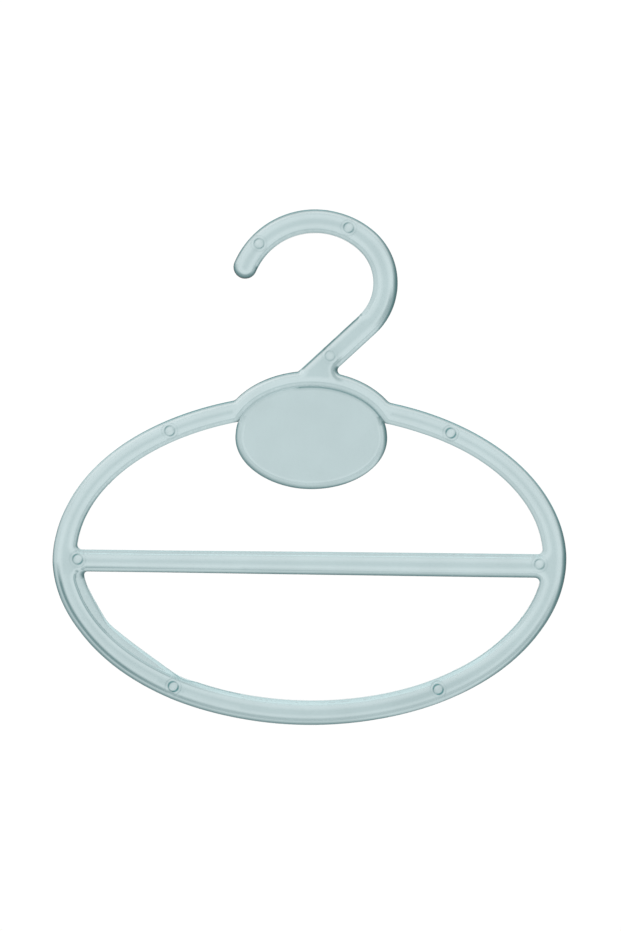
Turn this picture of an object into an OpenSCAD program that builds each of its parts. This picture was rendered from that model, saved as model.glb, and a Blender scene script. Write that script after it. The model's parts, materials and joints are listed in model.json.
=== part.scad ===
// Scarf hanger: an oval ring with a straight cross bar, an oval label plate
// under an arch, and an open hook. One moulding, drawn here as its members,
// which meet face to face.
// X is across the hanger, Y is through its thickness and Z is up.
// The front faces -Y. The origin is the axis of the hook's seat.

/* [Section] */
// Width of the band that the hook and the ring are made of
band_w = 9.5; // [8.5:0.1:10.5]
// Thickness of the moulding, front to back
band_t = 4.6; // [4:0.1:6]
// Radius on the long edges of the band
edge_r = 1.4; // [0.6:0.1:1.8]

/* [Hook] */
// Inner radius of the crook, where the rail sits
seat_r = 25; // [24:0.5:26]
// Radius of the return bend, to the middle of the band
bend_r = 22; // [20:0.5:23]
// Angle from +X at which the crook runs into the return bend
crook_start = 46; // [43:1:49]
// Angle from +X at which the tip ends
crook_end = 157; // [145:1:165]
// Angle of the stem under the horizontal, seen from the front
stem_angle = 43; // [42:0.5:44]
// Length of the straight stem above its root
stem_len = 17; // [15:0.5:18]

/* [Ring] */
// Outer width of the ring
ring_w = 200; // [194:1:206]
// Outer height of the ring
ring_h = 129.7; // [127:0.1:132]
// Radius of the ring's shoulders, between its ends and its long sides
shoulder_r = 74; // [72:0.5:76]
// Drop from the hook's axis to the middle of the ring
ring_drop = 101.6; // [101:0.1:102.2]
// How far the ring's middle is left of the hook's axis
ring_shift = 1.5; // [0.5:0.1:2.5]
// How far the wide inner flank at the lower left stands into the window
flank_w = 2.9; // [1.5:0.1:3.2]
// Thickness of that flank
flank_t = 1.8; // [1.2:0.1:2.4]

/* [Cross bar] */
// Height of the bar's face
bar_w = 8.9; // [8:0.1:10]
// How far the bar's middle is under the ring's middle
bar_drop = 1.8; // [0:0.1:3]
// Radius in the corners between the bar and the ring
bar_fillet = 1.8; // [1:0.1:2.4]

/* [Label plate] */
// Width of the oval plate
plate_w = 59.6; // [58:0.1:61]
// Height of the oval plate
plate_h = 40.2; // [39:0.1:41]
// Thickness of the plate
plate_t = 4; // [3:0.1:4.2]
// Drop from the hook's axis to the middle of the plate
plate_drop = 54.6; // [54.2:0.1:55]
// How far the plate's middle is left of the hook's axis
plate_shift = 1.1; // [0.5:0.1:1.7]
// Width of the arch over the plate
arch_w = 5.8; // [5.4:0.1:6.2]
// Radius in the corner between the stem and the arch
neck_fillet = 1.8; // [1.2:0.1:2.4]

/* [Mould marks] */
// Diameter of the round ejector marks
mark_d = 4.2; // [3:0.1:5]
// Depth of the round ejector marks
mark_depth = 0.3; // [0.1:0.05:0.5]

/* [Hidden] */
$fn = 96;
tint = [0.745, 0.816, 0.827];
plate_tint = [0.775, 0.84, 0.85];

// ---- plane geometry, all in the XZ plane ----
function at(c, r, a) = [c[0] + r * cos(a), c[1] + r * sin(a)];
function unit(v) = v / norm(v);

crook_r = seat_r + band_w / 2;
crook_c = [0, 0];
bend_c = at(crook_c, crook_r - bend_r, crook_start);
bend_end = stem_angle - 90;
stem_a = at(bend_c, bend_r, bend_end);
stem_dir = [sin(bend_end), -cos(bend_end)];
stem_n = [-stem_dir[1], stem_dir[0]]; // to the lower right of the stem
stem_b = stem_a + stem_len * stem_dir;
tip_c = at(crook_c, crook_r, crook_end);

// The ring's centre line: in each quarter an end arc, a shoulder arc and a
// long arc, tangent to each other. The end and long radii follow from the
// ring's size and the shoulder's radius.
ring_c = [-ring_shift, -ring_drop];
oval_a = (ring_w - band_w) / 2;
oval_b = (ring_h - band_w) / 2;
end_turn = 36;      // direction of the normal where the end arc meets the shoulder
shoulder_turn = 66; // and where the shoulder meets the long arc
function solve2(a11, a12, b1, a21, a22, b2) =
    let (d = a11 * a22 - a12 * a21) [(b1 * a22 - a12 * b2) / d, (a11 * b2 - b1 * a21) / d];
ring_rs = solve2(cos(end_turn) - 1, -cos(shoulder_turn),
                 -oval_a - shoulder_r * (cos(shoulder_turn) - cos(end_turn)),
                 sin(end_turn), 1 - sin(shoulder_turn),
                 oval_b - shoulder_r * (sin(shoulder_turn) - sin(end_turn)));
r_end = ring_rs[0];
r_long = ring_rs[1];
// Centres of the three arcs, from the ring's middle, for the quarter x > 0, z > 0
q_end = [oval_a - r_end, 0];
q_shoulder = at(q_end, r_end - shoulder_r, end_turn);
q_long = [0, oval_b - r_long];

// The plate's outline: an end arc and a long arc in each quarter
plate_turn = 52;
plate_a = plate_w / 2;
plate_b = plate_h / 2;
plate_c = [-plate_shift, -plate_drop];
plate_rs = solve2(1 - cos(plate_turn), cos(plate_turn), plate_a,
                  sin(plate_turn), 1 - sin(plate_turn), plate_b);
plate_end = plate_rs[0];
plate_long = plate_rs[1];

// The bar, and the circles in the corners where it leaves the ring
bar_z = ring_c[1] - bar_drop;
end_in = r_end - band_w / 2;
function corner(s) = // from the middle of the right-hand end arc
    let (z = -bar_drop + s * (bar_w / 2 + bar_fillet))
    [sqrt(pow(end_in - bar_fillet, 2) - z * z), z];
stub_x = min(corner(1)[0], corner(-1)[0]) + q_end[0] - 0.5; // where the bar's own piece ends

// The flank's edge is one circle through three points of the window's edge
flank_on = 17;   // direction of the ring's normal where the flank starts
flank_mid = 45;  // where it stands out most
flank_off = 71;  // and where it ends
function edge_pt(a, g) = // point of the ring's inner edge, moved g into the window
    a < end_turn ? at(q_end, r_end - band_w / 2 - g, a)
    : a < shoulder_turn ? at(q_shoulder, shoulder_r - band_w / 2 - g, a)
    : at(q_long, r_long - band_w / 2 - g, a);
f1 = edge_pt(flank_on, 0);
f2 = edge_pt(flank_mid, flank_w);
f3 = edge_pt(flank_off, 0);
flank_c = solve2(2 * (f2[0] - f1[0]), 2 * (f2[1] - f1[1]), f2 * f2 - f1 * f1,
                 2 * (f3[0] - f1[0]), 2 * (f3[1] - f1[1]), f3 * f3 - f1 * f1);
flank_r = norm(f1 - flank_c);

// ---- sections ----
// Flat band with rounded long edges, centred
module section(w, t = band_t, r = edge_r) {
    square([w - 2 * r, t], center = true);
    square([w, t - 2 * r], center = true);
    for (x = [-1, 1], y = [-1, 1])
        translate([x * (w / 2 - r), y * (t / 2 - r)]) circle(r, $fn = 32);
}

// Turns the XY plane of an extrusion into the XZ plane
module stand(c = [0, 0]) { translate([c[0], 0, c[1]]) rotate([90, 0, 0]) children(); }

// Band bent on a circle of centre c and radius r, from angle a0 to a1
module arc_band(c, r, a0, a1, w = band_w) {
    stand(c) rotate([0, 0, a0]) rotate_extrude(angle = a1 - a0)
        translate([r, 0]) section(w);
}

// Straight band from p to q
module straight_band(p, q, w = band_w) {
    translate([p[0], 0, p[1]]) rotate([0, -atan2(q[1] - p[1], q[0] - p[0]), 0])
        rotate([90, 0, 90]) linear_extrude(norm(q - p)) section(band_t, w);
}

// A plate of thickness t, centred on Y = 0, with its 2D outline in XZ
module slab(t) { translate([0, t / 2, 0]) stand() linear_extrude(t) children(); }

// Web in the corner of two bands: the outline pts less a circle of radius r
// about c. The circle is a hair larger than the fillet and the web a hair
// thinner than the bands, so that it ends in a clean edge on both of them.
module corner_web(pts, c, r) {
    difference() {
        slab(band_t - 0.04) polygon(pts);
        slab(band_t) translate(c) circle(r + 0.04);
    }
}

// Round ejector mark on the front face
module mark(p) {
    translate([p[0], mark_depth - band_t / 2, p[1]]) rotate([90, 0, 0])
        cylinder(h = 2, d = mark_d, $fn = 48);
}

// ---- hook ----
// The tip is half a round disc. It is a hair smaller than the band, so that
// its rim stands clear of the band's faces.
module hook_crook() color(tint) difference() {
    union() {
        arc_band(crook_c, crook_r, crook_start, crook_end);
        stand(tip_c) rotate_extrude() intersection() {
            section(band_w - 0.04, band_t - 0.04);
            translate([0, -band_t]) square([band_w, 2 * band_t]);
        }
    }
    mark(at(crook_c, crook_r, 64.6));
    mark(at(crook_c, crook_r, 136.8));
}

module hook_bend() color(tint) arc_band(bend_c, bend_r, bend_end, crook_start);

module hook_shank() color(tint) straight_band(stem_a, stem_b);

// ---- label plate ----
// The plate's outline, flat. The end circles are a hair large, so that they
// cross the long arcs instead of touching them.
module plate_oval() {
    translate(plate_c) {
        for (s = [-1, 1]) {
            translate([s * (plate_a - plate_end), 0]) circle(plate_end + 0.03);
            intersection() {
                translate([0, s * (plate_b - plate_long)]) circle(plate_long);
                translate([0, s * (plate_b - plate_long)])
                    polygon([[0, 0], 80 * [cos(plate_turn), s * sin(plate_turn)],
                             80 * [-cos(plate_turn), s * sin(plate_turn)]]);
            }
        }
    }
}

module label_plate() color(plate_tint) slab(plate_t) plate_oval();

// ---- neck and arch ----
// Band around the plate, from angle a0 to a1 of the arc of centre c and radius
// r. It reaches a little into the plate, whose seat is cut out of it.
module arch_band(c, r, a0, a1)
    arc_band(c, r + (arch_w - 0.6) / 2, a0, a1, arch_w + 0.6);

// Corner between the stem's lower right edge and the arch
arch_c = plate_c + [0, plate_b - plate_long];
arch_r = plate_long + arch_w;
nf_q = stem_b + (band_w / 2 + neck_fillet) * stem_n - arch_c;
nf_b = nf_q * stem_dir;
nf_l = -nf_b - sqrt(nf_b * nf_b - nf_q * nf_q + pow(arch_r + neck_fillet, 2));
nf_c = arch_c + nf_q + nf_l * stem_dir;
nf_in = unit(arch_c - nf_c);
nf_t1 = nf_c - neck_fillet * stem_n;
nf_t2 = nf_c + neck_fillet * nf_in;

module neck_arch() color(tint) difference() {
    union() {
        arch_band(arch_c, plate_long, plate_turn, 180 - plate_turn);
        // root of the stem
        straight_band(stem_b, stem_b + 18 * stem_dir);
        corner_web([nf_c, nf_t1, nf_t1 - 3 * stem_n + 6 * stem_dir, nf_t2 + 3 * nf_in, nf_t2],
                   nf_c, neck_fillet);
    }
    // seat of the plate
    slab(band_t + 2) plate_oval();
    mark([6, -22.8]);
}

// ---- ring ----
// Puts what is drawn for the quarter x > 0, z > 0 of the ring in another quarter
module in_quarter(sx, sz) {
    translate([ring_c[0], 0, ring_c[1]])
        mirror([sx < 0 ? 1 : 0, 0, 0]) mirror([0, 0, sz < 0 ? 1 : 0]) children();
}

// Piece of the flank over one arc, from angle a0 to a1 of centre c and radius r
module flank(c, r, a0, a1) {
    in_quarter(-1, -1) slab(flank_t) intersection() {
        difference() {
            translate(c) circle(r);
            translate(flank_c) circle(flank_r);
        }
        translate(c) polygon([[0, 0], 2 * r * [cos(a0), sin(a0)], 2 * r * [cos(a1), sin(a1)]]);
        // only near the ring
        translate(c) difference() { circle(r + 1); circle(r - band_w / 2 - flank_w - 1); }
    }
}

module shoulder() arc_band(q_shoulder, shoulder_r, end_turn, shoulder_turn);

// End of the ring's top, which widens into the arch and holds the plate's side
module ring_top(s) {
    c = plate_c + [s * (plate_a - plate_end), 0];
    difference() {
        union() {
            difference() {
                in_quarter(s, 1) arc_band(q_long, r_long, shoulder_turn, 88);
                // what is on the far side of the joint with the arch
                slab(band_t + 2) translate(c) polygon([[0, 0],
                    80 * [s * cos(plate_turn), sin(plate_turn)],
                    80 * [-s * sin(plate_turn), cos(plate_turn)],
                    [-s * 20, 0]]);
            }
            mirror([s > 0 ? 1 : 0, 0, 0])
                arch_band([-abs(c[0]), c[1]], plate_end, 180 - plate_turn, 148);
        }
        slab(band_t + 2) plate_oval();
    }
}
module ring_top_left() color(tint) ring_top(-1);
module ring_top_right() color(tint) ring_top(1);

// End of the ring, with the stub that the bar grows from
module ring_end(sx) {
    in_quarter(sx, 1) {
        arc_band(q_end, r_end, -end_turn, end_turn);
        straight_band([stub_x, -bar_drop], [oval_a, -bar_drop], bar_w);
        for (s = [-1, 1]) {
            c = corner(s);
            corner_web([q_end + c, q_end + [c[0], c[1] - s * bar_fillet],
                        q_end + [end_in + 2, c[1] - s * (bar_fillet + 2)],
                        q_end + (end_in + 2) * unit(c), q_end + end_in * unit(c)],
                       q_end + c, bar_fillet);
        }
    }
}

module ring_shoulder_upper_left() color(tint) difference() {
    in_quarter(-1, 1) shoulder();
    mark(ring_c + mirror_x(at(q_shoulder, shoulder_r, 61)));
}
module ring_shoulder_upper_right() color(tint) difference() {
    in_quarter(1, 1) shoulder();
    mark(ring_c + at(q_shoulder, shoulder_r, 61));
}
function mirror_x(p) = [-p[0], p[1]];
module ring_end_left() color(tint) difference() {
    union() {
        ring_end(-1);
        flank(q_end, r_end, 10, end_turn);
    }
    mark(ring_c + [3 - oval_a, -bar_drop]);
}
module ring_end_right() color(tint) difference() {
    ring_end(1);
    mark(ring_c + [oval_a - 3, -bar_drop]);
}
module ring_shoulder_lower_left() color(tint) {
    in_quarter(-1, -1) shoulder();
    flank(q_shoulder, shoulder_r, end_turn, shoulder_turn);
}
module ring_shoulder_lower_right() color(tint) in_quarter(1, -1) shoulder();
module ring_bottom_left() color(tint) difference() {
    union() {
        in_quarter(-1, -1) arc_band(q_long, r_long, shoulder_turn, 90);
        flank(q_long, r_long, shoulder_turn, 76);
    }
    mark(ring_c - at(q_long, r_long, 70));
}
module ring_bottom_right() color(tint) difference() {
    in_quarter(1, -1) arc_band(q_long, r_long, shoulder_turn, 90);
    mark(ring_c - mirror_x(at(q_long, r_long, 70)));
}

// ---- bar ----
module cross_bar() color(tint)
    straight_band(ring_c + [-stub_x, -bar_drop], ring_c + [stub_x, -bar_drop], bar_w);

hook_crook();
hook_bend();
hook_shank();
neck_arch();
label_plate();
ring_top_left();
ring_top_right();
ring_shoulder_upper_left();
ring_shoulder_upper_right();
ring_end_left();
ring_end_right();
ring_shoulder_lower_left();
ring_shoulder_lower_right();
ring_bottom_left();
ring_bottom_right();
cross_bar();
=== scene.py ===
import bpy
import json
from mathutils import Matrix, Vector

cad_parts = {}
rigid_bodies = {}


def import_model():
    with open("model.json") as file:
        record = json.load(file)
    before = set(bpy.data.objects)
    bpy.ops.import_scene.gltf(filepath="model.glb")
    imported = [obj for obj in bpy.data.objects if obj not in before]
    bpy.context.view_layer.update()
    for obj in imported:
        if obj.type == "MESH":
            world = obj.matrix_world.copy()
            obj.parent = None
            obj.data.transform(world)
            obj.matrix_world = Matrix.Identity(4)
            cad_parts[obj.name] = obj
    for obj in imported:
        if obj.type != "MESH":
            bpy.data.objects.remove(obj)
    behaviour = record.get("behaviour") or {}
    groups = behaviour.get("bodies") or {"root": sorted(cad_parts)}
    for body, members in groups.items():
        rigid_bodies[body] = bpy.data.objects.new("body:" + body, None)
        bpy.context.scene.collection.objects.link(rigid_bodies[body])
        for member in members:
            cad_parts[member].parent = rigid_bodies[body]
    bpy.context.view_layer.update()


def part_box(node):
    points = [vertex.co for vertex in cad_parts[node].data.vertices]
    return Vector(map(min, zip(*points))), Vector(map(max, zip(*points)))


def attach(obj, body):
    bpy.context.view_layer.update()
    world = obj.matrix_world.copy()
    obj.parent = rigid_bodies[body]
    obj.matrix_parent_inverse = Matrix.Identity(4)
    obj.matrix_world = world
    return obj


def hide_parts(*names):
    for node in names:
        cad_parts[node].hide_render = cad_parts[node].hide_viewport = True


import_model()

import json
import math

import bpy
import numpy as np
from mathutils.geometry import delaunay_2d_cdt

# ------------------------------------------------------------------ sizes, mm
# Same frame as the CAD: X across, Z up, the front faces -Y, origin in the hook.
BAND = 9.5
HALF = 2.3                       # half of the moulding's thickness
RIM = 0.8                        # half height of the upright edge
CROOK_R = 29.75
BEND_R = 22.0
A_BEND = 46.0                    # where the crook runs into the bend
A_TIP = 157.0
BEND_END = -47.0
RING_C = np.array([-1.5, -101.6])
OUT_C, OUT_A, OUT_B = np.array([-1.5, -101.65]), 100.0, 64.78
IN_C, IN_A, IN_B = np.array([-1.5, -101.29]), 90.55, 55.33
PLATE_C, PLATE_A, PLATE_B = np.array([-1.1, -54.6]), 29.8, 20.1
ARCH_A, ARCH_B = 35.6, 25.9
BAR_Z, BAR_SLOPE, BAR_W = -103.52, -0.0052, 9.05


def pol(c, r, deg):
    a = np.radians(deg)
    return np.stack([c[0] + r * np.cos(a), c[1] + r * np.sin(a)], axis=-1)


def ell(c, a, b, deg):
    t = np.radians(deg)
    return np.stack([c[0] + a * np.cos(t), c[1] + b * np.sin(t)], axis=-1)


def ell_off(c, a, b, deg, stops, values):
    """Ellipse moved inwards by an amount that changes along it."""
    t = np.radians(deg)
    n = np.stack([np.cos(t) / a, np.sin(t) / b], axis=-1)
    n /= np.linalg.norm(n, axis=1)[:, None]
    return ell(c, a, b, deg) - n * np.interp(deg, stops, values)[:, None]


CROOK_C = np.zeros(2)
BEND_C = pol(CROOK_C, CROOK_R - BEND_R, A_BEND)
STEM_A = pol(BEND_C, BEND_R, BEND_END)
STEM_D = np.array([math.sin(math.radians(BEND_END)), -math.cos(math.radians(BEND_END))])
STEM_N = np.array([-STEM_D[1], STEM_D[0]])          # to the lower right
STEM_B = STEM_A + 17.0 * STEM_D
TIP_C = pol(CROOK_C, CROOK_R, A_TIP)


# ------------------------------------------------------------------ polylines
def arange(a, b, step):
    n = max(2, int(round(abs(b - a) / step)) + 1)
    return np.linspace(a, b, n)


def line(p, q, step=1.0):
    n = max(2, int(round(np.linalg.norm(np.subtract(q, p)) / step)) + 1)
    return np.linspace(p, q, n)


def tangents(p, closed=False):
    if closed:
        d = np.roll(p, -1, 0) - np.roll(p, 1, 0)
    else:
        d = np.gradient(p, axis=0)
    return d / np.linalg.norm(d, axis=1)[:, None]


def right(t):
    return np.stack([t[:, 1], -t[:, 0]], axis=-1)


def crossings(a, b):
    """Every crossing of two polylines: (i, s, j, t, point)."""
    p, r = a[:-1], a[1:] - a[:-1]
    q, s = b[:-1], b[1:] - b[:-1]
    den = r[:, None, 0] * s[None, :, 1] - r[:, None, 1] * s[None, :, 0]
    w = q[None] - p[:, None]
    with np.errstate(divide="ignore", invalid="ignore"):
        u = (w[..., 0] * s[None, :, 1] - w[..., 1] * s[None, :, 0]) / den
        v = (w[..., 0] * r[:, None, 1] - w[..., 1] * r[:, None, 0]) / den
    ok = (u >= 0) & (u < 1) & (v >= 0) & (v < 1)
    return [(i, u[i, j], j, v[i, j], p[i] + u[i, j] * r[i]) for i, j in zip(*np.where(ok))]


def nearest(poly, c):
    p, d = poly[:-1], poly[1:] - poly[:-1]
    t = np.clip(((c - p) * d).sum(1) / (d * d).sum(1), 0, 1)
    x = p + t[:, None] * d
    i = int(np.argmin(((x - c) ** 2).sum(1)))
    return i, t[i], x[i]


def turn(a, b):
    """The crossing nearest to a's end and b's start."""
    return min(crossings(a, b), key=lambda c: len(a) - c[0] + c[2])


def corner(a, b, r):
    """Where a turns into b: the last kept point of a, the points in between, the first kept point of b.
    r is the radius of a fillet on their right-hand side, or 0."""
    if r <= 0:
        i, _, j, _, x = turn(a, b)
        return i, x[None], j + 1
    ar, br = a + r * right(tangents(a)), b + r * right(tangents(b))
    c = turn(ar, br)[4]
    i, _, p = nearest(a, c)
    j, _, q = nearest(b, c)
    a0 = math.degrees(math.atan2(*(p - c)[::-1]))
    a1 = math.degrees(math.atan2(*(q - c)[::-1]))
    while a1 > a0:
        a1 -= 360
    return i, pol(c, r, arange(a0, a1, 8.0)), j + 1


def close_up(segs, radii):
    """Closed loop through segs, each turning into the next with a fillet of the radius given."""
    n = len(segs)
    cs = [corner(segs[k], segs[(k + 1) % n], radii[k]) for k in range(n)]
    out = []
    for k in range(n):
        pts = segs[k][cs[k - 1][2]:cs[k][0] + 1]
        if len(pts) and np.linalg.norm(pts[0] - cs[k - 1][1][-1]) < 0.12:
            pts = pts[1:]
        if len(pts) and np.linalg.norm(pts[-1] - cs[k][1][0]) < 0.12:
            pts = pts[:-1]
        out += [pts, cs[k][1]]
    return np.vstack(out)


def bar_edge(s, x0, x1):
    """Top (s = 1) or bottom (s = -1) edge of the bar."""
    x = arange(x0, x1, 1.2)
    off = np.interp(x, [-62, 0, 62], [-0.22, -0.02, 0.1] if s > 0 else [0.27, 0.1, -0.02])    # a little narrower to the left
    return np.column_stack([x, BAR_Z + BAR_SLOPE * (x - RING_C[0]) + s * BAR_W / 2 + off])


def spline(pts, step=0.7):
    """Catmull-Rom curve through pts."""
    p = np.array(pts, float)
    p = np.vstack([2 * p[0] - p[1], p, 2 * p[-1] - p[-2]])
    out = []
    for i in range(1, len(p) - 2):
        n = max(2, int(np.linalg.norm(p[i + 1] - p[i]) / step))
        for t in np.arange(n) / n:
            a = 2 * p[i]
            b = p[i + 1] - p[i - 1]
            c = 2 * p[i - 1] - 5 * p[i] + 4 * p[i + 1] - p[i + 2]
            d = -p[i - 1] + 3 * p[i] - 3 * p[i + 1] + p[i + 2]
            out.append(0.5 * (a + b * t + c * t * t + d * t ** 3))
    out.append(p[-2])
    return np.array(out)


# Outer outline, anticlockwise, with the material on its left
h = BAND / 2


def crook_out(deg):
    """Outer edge of the crook, which is a little slimmer than the band elsewhere."""
    a = np.radians(deg)
    r = CROOK_R + h - np.interp(deg, [A_BEND, 75, 180], [0.0, 0.36, 0.36])
    return np.stack([r * np.cos(a), r * np.sin(a)], axis=-1)


TIP_M = pol(CROOK_C, CROOK_R - 0.18, A_TIP)
# the ring's band is a little slimmer over its shoulders
ring_out = ell_off(OUT_C, OUT_A, OUT_B, arange(98, 442, 0.5),
                   [98, 115, 135, 148, 162, 172, 182, 195, 207, 222, 238, 252, 286, 300, 318, 335, 350, 362, 380, 400, 420, 435, 442],
                   [0.7, 0.55, 0.42, 0.5, 0.7, 0.55, 0.1, 0.15, 0.3, 0, -0.15, 0.03, 0.03, -0.1, 0, 0.3, 0.15, 0, 0.22, 0.35, 0.6, 0.85, 0.9])
arch_right = ell(PLATE_C, ARCH_A, ARCH_B, arange(25, 100, 1.2))
arch_left = ell(PLATE_C, ARCH_A, ARCH_B, arange(80, 155, 1.2))
hook = np.vstack([
    line(STEM_B + 16 * STEM_D + h * STEM_N, STEM_A + h * STEM_N, 0.9)[:-1],
    pol(BEND_C, BEND_R + h, arange(BEND_END, A_BEND, 1.6))[:-1],
    crook_out(arange(A_BEND, A_TIP, 1.3))[:-1],
    pol(TIP_M, h - 0.18, arange(A_TIP, A_TIP + 180, 6.0))[:-1],
    pol(CROOK_C, CROOK_R - h, arange(A_TIP, A_BEND, 1.7))[:-1],
    pol(BEND_C, BEND_R - h, arange(A_BEND, BEND_END, 2.4))[:-1],
    line(STEM_A - h * STEM_N, STEM_B + 16 * STEM_D - h * STEM_N, 0.9),
])
outer = close_up([ring_out, arch_right, hook, arch_left], [3.0, 1.75, 0.5, 3.0])

# Upper window of the frame, clockwise: seat of the plate, ring, bar, ring
seat = ell(PLATE_C, PLATE_A, PLATE_B, arange(200, -20, 1.4))
IN_STOPS = [-128, -118, -90, -62, -45, -33, -20, -8, 15, 45, 62]
IN_OFF = [0, -0.12, -0.28, -0.42, -0.28, -0.08, -0.22, -0.4, -0.42, -0.28, 0]
in_right = ell_off(IN_C, IN_A, IN_B, arange(85, -20, 0.5), IN_STOPS, IN_OFF)
in_left = ell(IN_C, IN_A, IN_B, arange(200, 95, 0.5))
k_right = crossings(seat, in_right)[0][4]
k_left = crossings(in_left, seat)[0][4]
window_up = close_up([seat, in_right, bar_edge(1, 96, -96), in_left], [0, 1.9, 1.9, 0])
window_up = np.roll(window_up, -int(np.argmin(((window_up - k_left) ** 2).sum(1))), axis=0)

# Lower window, clockwise: bar, ring, wide flank at the lower left
low_right = ell_off(IN_C, IN_A, IN_B, arange(20, -118.5, 0.5), IN_STOPS, IN_OFF)
flank_edge = spline([low_right[-6], low_right[-1], (-51.5, -147.9), (-60.3, -141.9), (-70.4, -134.6),
                     (-78.5, -128.2), (-80.7, -125.6), (-85.0, -118.2), (-88.0, -112.6), (-89.2, -108.6), (-89.3, -104.5)])
for _ in range(12):
    flank_edge[1:-1] = 0.5 * flank_edge[1:-1] + 0.25 * (flank_edge[:-2] + flank_edge[2:])
flank_edge = flank_edge[int(np.argmin(((flank_edge - low_right[-1]) ** 2).sum(1))) + 1:]
window_low = close_up([bar_edge(-1, -96, 96), np.vstack([low_right, flank_edge])], [1.9, 1.3])
# the same window without the wide flank: the border of the face follows this one
window_plain = close_up([bar_edge(-1, -96, 96), ell_off(IN_C, IN_A, IN_B, arange(20, -200, 0.5), IN_STOPS, IN_OFF)], [1.9, 2.4])

# The plate's outline, anticlockwise, with the same points as its seat
i_r = int(np.argmin(((window_up - k_right) ** 2).sum(1)))
seat_pts = window_up[:i_r + 1]                      # from k_left over the top to k_right
ang = lambda p: math.degrees(math.atan2((p[1] - PLATE_C[1]) / PLATE_B, (p[0] - PLATE_C[0]) / PLATE_A))
a_l, a_r = ang(k_left) % 360, ang(k_right) % 360 + (360 if ang(k_right) >= 0 else 0)
free = ell_off(PLATE_C, PLATE_A, PLATE_B, arange(a_l, a_r, 1.3),
               [a_l, a_l + 12, 225, 262, 300, 330, a_r - 12, a_r], [0, 0.33, 0.25, 0, 0.05, 0.12, 0.25, 0])
plate_loop = np.vstack([seat_pts[::-1], free[1:-1]])

# ------------------------------------------------------------------ joints
# (a point on the joint, a direction along it), in mm
Q_END = np.array([95.25 - 40.34, 0.0])
END_TURN, SHOULDER_TURN, SHOULDER_R = 36.0, 66.0, 74.0


def solve2(a11, a12, b1, a21, a22, b2):
    d = a11 * a22 - a12 * a21
    return (b1 * a22 - a12 * b2) / d, (a11 * b2 - b1 * a21) / d


cosd, sind = lambda a: math.cos(math.radians(a)), lambda a: math.sin(math.radians(a))
OA, OB = (200 - BAND) / 2, (129.7 - BAND) / 2
R_END, R_LONG = solve2(cosd(END_TURN) - 1, -cosd(SHOULDER_TURN),
                       -OA - SHOULDER_R * (cosd(SHOULDER_TURN) - cosd(END_TURN)),
                       sind(END_TURN), 1 - sind(SHOULDER_TURN),
                       OB - SHOULDER_R * (sind(SHOULDER_TURN) - sind(END_TURN)))
Q_END = np.array([OA - R_END, 0.0])
Q_LONG = np.array([0.0, OB - R_LONG])
P_END, P_LONG = solve2(1 - cosd(52), cosd(52), PLATE_A, sind(52), 1 - sind(52), PLATE_B)
STUB = 174.5 / 2
lo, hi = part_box("cross_bar")
STUB = (hi[0] - lo[0]) * 500.0

joints = [(pol(CROOK_C, CROOK_R, A_BEND), pol(CROOK_C, 1, A_BEND)),
          (STEM_A, STEM_N), (STEM_B, STEM_N)]
for sx in (1, -1):
    c = PLATE_C + np.array([sx * (PLATE_A - P_END), 0])
    d = np.array([sx * cosd(52), sind(52)])
    joints.append((c + (P_END + 2.9) * d, d))
    for sz in (1, -1):
        m = np.array([sx, sz])
        d = pol(np.zeros(2), 1, END_TURN)
        joints.append((RING_C + m * (Q_END + R_END * d), m * d))
        d = pol(np.zeros(2), 1, SHOULDER_TURN)
        joints.append((RING_C + m * (Q_LONG + R_LONG * d), m * d))
    joints.append((np.array([RING_C[0] + sx * STUB, BAR_Z]), np.array([0.0, 1.0])))
joints.append((np.array([RING_C[0], RING_C[1] - OB]), np.array([0.0, 1.0])))

frame_loops = [outer, window_up, window_low]


def insert_on_loops(p, d):
    """Adds the joint's two end points to the frame's loops, and returns them."""
    ends = []
    for sign in (1, -1):
        best = None
        seg = np.array([p, p + sign * 14 * d])
        for li, lp in enumerate(frame_loops):
            closed = np.vstack([lp, lp[:1]])
            for _, s, j, t, x in crossings(seg, closed):
                if best is None or s < best[0]:
                    best = (s, li, j, t, x)
        s, li, j, t, x = best
        lp = frame_loops[li]
        n = len(lp)
        for k in (j, (j + 1) % n):
            if np.linalg.norm(lp[k] - x) < 0.3 and np.linalg.norm(lp[k] - k_left) > 0.01 \
                    and np.linalg.norm(lp[k] - k_right) > 0.01:
                lp[k] = x
                break
        else:
            frame_loops[li] = np.insert(lp, j + 1, x, axis=0)
        ends.append(x)
    return ends


joint_ends = [insert_on_loops(p, d) for p, d in joints]
outer, window_up, window_low = frame_loops
# the seat may have got new points: the plate takes them too
i_r = int(np.argmin(((window_up - k_right) ** 2).sum(1)))
seat_pts = window_up[:i_r + 1]
plate_loop = np.vstack([seat_pts[::-1], free[1:-1]])


# ------------------------------------------------------------------ edge profile
def monotone(xs, ys, n=1500):
    """Monotone cubic table through (xs, ys)."""
    x, y = np.array(xs, float), np.array(ys, float)
    hh = np.diff(x)
    s = np.diff(y) / hh
    m = np.empty_like(x)
    m[0], m[-1] = s[0] * 1.5, 0.0
    for i in range(1, len(x) - 1):
        m[i] = 0 if s[i - 1] * s[i] <= 0 else 2 * s[i - 1] * s[i] / (s[i - 1] + s[i])
    t = np.linspace(x[0], x[-1], n)
    k = np.clip(np.searchsorted(x, t, side="right") - 1, 0, len(x) - 2)
    u = (t - x[k]) / hh[k]
    v = (y[k] * (2 * u ** 3 - 3 * u ** 2 + 1) + m[k] * hh[k] * (u ** 3 - 2 * u ** 2 + u)
         + y[k + 1] * (-2 * u ** 3 + 3 * u ** 2) + m[k + 1] * hh[k] * (u ** 3 - u ** 2))
    return t, v, np.gradient(v, t)


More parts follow.
